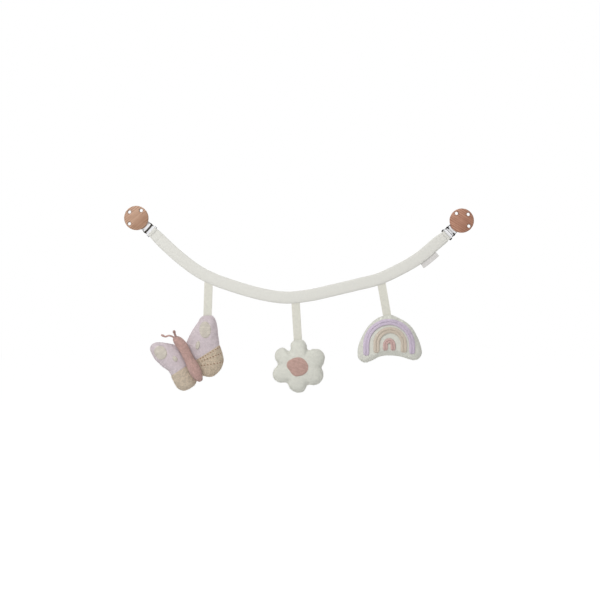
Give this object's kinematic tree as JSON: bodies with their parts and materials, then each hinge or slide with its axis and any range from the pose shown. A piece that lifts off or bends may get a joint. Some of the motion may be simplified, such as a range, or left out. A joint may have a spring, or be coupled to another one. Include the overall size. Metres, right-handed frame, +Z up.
{
  "type": "pram chain toy",
  "caption": "Soft curved strap with a wood-disc clip at each end; a stuffed butterfly, flower and rainbow hang from it on short ribbons.",
  "frame": {"origin": "centre of the whole object's box at rest", "axes": "+X from the butterfly's end to the rainbow's end, +Y away from the viewer through the thin way, +Z up"},
  "size_m": [0.518, 0.0326, 0.2776],
  "materials": {
    "bare_tag": "smooth bare satin tape",
    "bow_lilac": "lilac knitted cord",
    "clip_steel": "bright nickel-chrome plating, mirror smooth with small dents",
    "core_felt": "needled felt",
    "jaw_plastic": "off-white moulded plastic",
    "knit_beige": "beige pebble knit",
    "knit_pink": "dusty pink knit",
    "left_beech": "oiled beech, satin",
    "patch_cream": "cream knit",
    "ribbon_twill": "cotton twill tape",
    "right_beech": "oiled beech, satin, a little redder",
    "strap_jersey": "fine off-white jersey knit",
    "toy_filling": "loose polyester fibre",
    "toy_white_jersey": "off-white rib knit",
    "wing_lilac": "pale lilac pebble knit"
  },
  "bodies": {
    "strap": {"strap_front_layer": "strap_jersey", "strap_back_layer": "strap_jersey", "strap_core": "core_felt", "left_end_tab": "strap_jersey", "right_end_tab": "strap_jersey", "side_tag": "bare_tag"},
    "left_clip": {"left_base_plate": "clip_steel", "left_hinge_pin": "clip_steel", "left_jaw_pad": "jaw_plastic"},
    "left_lever": {"left_lever_plate": "clip_steel", "left_wood_disc": "left_beech", "left_disc_rivet": "clip_steel"},
    "right_clip": {"right_base_plate": "clip_steel", "right_hinge_pin": "clip_steel", "right_jaw_pad": "jaw_plastic"},
    "right_lever": {"right_lever_plate": "clip_steel", "right_wood_disc": "right_beech", "right_disc_rivet": "clip_steel"},
    "butterfly_ribbon": {"butterfly_ribbon": "ribbon_twill"},
    "flower_ribbon": {"flower_ribbon": "ribbon_twill"},
    "rainbow_ribbon": {"rainbow_ribbon": "ribbon_twill"},
    "right_wing": {"right_wing_upper_cover": "wing_lilac", "right_wing_lower_cover": "knit_beige", "right_wing_filling": "toy_filling", "right_wing_big_patch": "patch_cream", "right_wing_small_patch": "patch_cream"},
    "butterfly_body": {"butterfly_body_cover": "knit_pink", "butterfly_body_filling": "toy_filling", "butterfly_centre_seam": "wing_lilac", "butterfly_long_antenna": "knit_pink", "butterfly_short_antenna": "knit_pink"},
    "left_wing": {"left_wing_upper_cover": "wing_lilac", "left_wing_lower_cover": "knit_beige", "left_wing_filling": "toy_filling", "left_wing_big_patch": "patch_cream", "left_wing_small_patch": "patch_cream"},
    "flower": {"flower_front_panel": "toy_white_jersey", "flower_back_panel": "toy_white_jersey", "flower_filling": "toy_filling", "flower_middle": "knit_pink"},
    "rainbow": {"rainbow_front_panel": "toy_white_jersey", "rainbow_back_panel": "toy_white_jersey", "rainbow_filling": "toy_filling", "rainbow_lilac_bow": "bow_lilac", "rainbow_beige_bow": "knit_beige", "rainbow_pink_bow": "knit_pink"}
  },
  "joints": [
    {"name": "left_clip_swivel", "type": "hinge", "parent": "strap", "child": "left_clip", "pos_m": [-0.21786, 0.00493, 0.10027], "axis": [0.6646, 0, 0.7472], "range_deg": [-110, 60]},
    {"name": "left_lever_opening", "type": "hinge", "parent": "left_clip", "child": "left_lever", "pos_m": [-0.22435, 0.00208, 0.10605], "axis": [0.6646, 0, 0.7472], "range_deg": [0, 70]},
    {"name": "right_clip_swivel", "type": "hinge", "parent": "strap", "child": "right_clip", "pos_m": [0.21874, 0.00493, 0.09538], "axis": [0.6965, 0, -0.7176], "range_deg": [-110, 60]},
    {"name": "right_lever_opening", "type": "hinge", "parent": "right_clip", "child": "right_lever", "pos_m": [0.22498, 0.00208, 0.10144], "axis": [0.6965, 0, -0.7176], "range_deg": [0, 70]},
    {"name": "butterfly_ribbon_swing", "type": "hinge", "parent": "strap", "child": "butterfly_ribbon", "pos_m": [-0.13461, 0.00493, 0.02279], "axis": [0.9152, 0, -0.4029], "range_deg": [-50, 50]},
    {"name": "flower_ribbon_swing", "type": "hinge", "parent": "strap", "child": "flower_ribbon", "pos_m": [-0.00502, 0.00493, -0.00632], "axis": [0.9966, 0, 0.0828], "range_deg": [-50, 50]},
    {"name": "rainbow_ribbon_swing", "type": "hinge", "parent": "strap", "child": "rainbow_ribbon", "pos_m": [0.12293, 0.00493, 0.0218], "axis": [0.9399, 0, 0.3415], "range_deg": [-50, 50]},
    {"name": "butterfly_swing", "type": "hinge", "parent": "butterfly_ribbon", "child": "right_wing", "pos_m": [-0.13604, 0.00493, -0.02269], "axis": [1, 0, 0], "range_deg": [-50, 50]},
    {"name": "flower_swing", "type": "hinge", "parent": "flower_ribbon", "child": "flower", "pos_m": [-0.00181, 0.00493, -0.05882], "axis": [1, 0, 0], "range_deg": [-50, 50]},
    {"name": "rainbow_swing", "type": "hinge", "parent": "rainbow_ribbon", "child": "rainbow", "pos_m": [0.13062, 0.00493, -0.02183], "axis": [1, 0, 0], "range_deg": [-50, 50]},
    {"name": "right_wing_fold", "type": "hinge", "parent": "right_wing", "child": "butterfly_body", "pos_m": [-0.16301, 0.00493, -0.08726], "axis": [0.454, 0, -0.891], "range_deg": [0, 40]},
    {"name": "left_wing_fold", "type": "hinge", "parent": "butterfly_body", "child": "left_wing", "pos_m": [-0.16301, 0.00493, -0.08726], "axis": [0.454, 0, -0.891], "range_deg": [0, 40]}
  ]
}
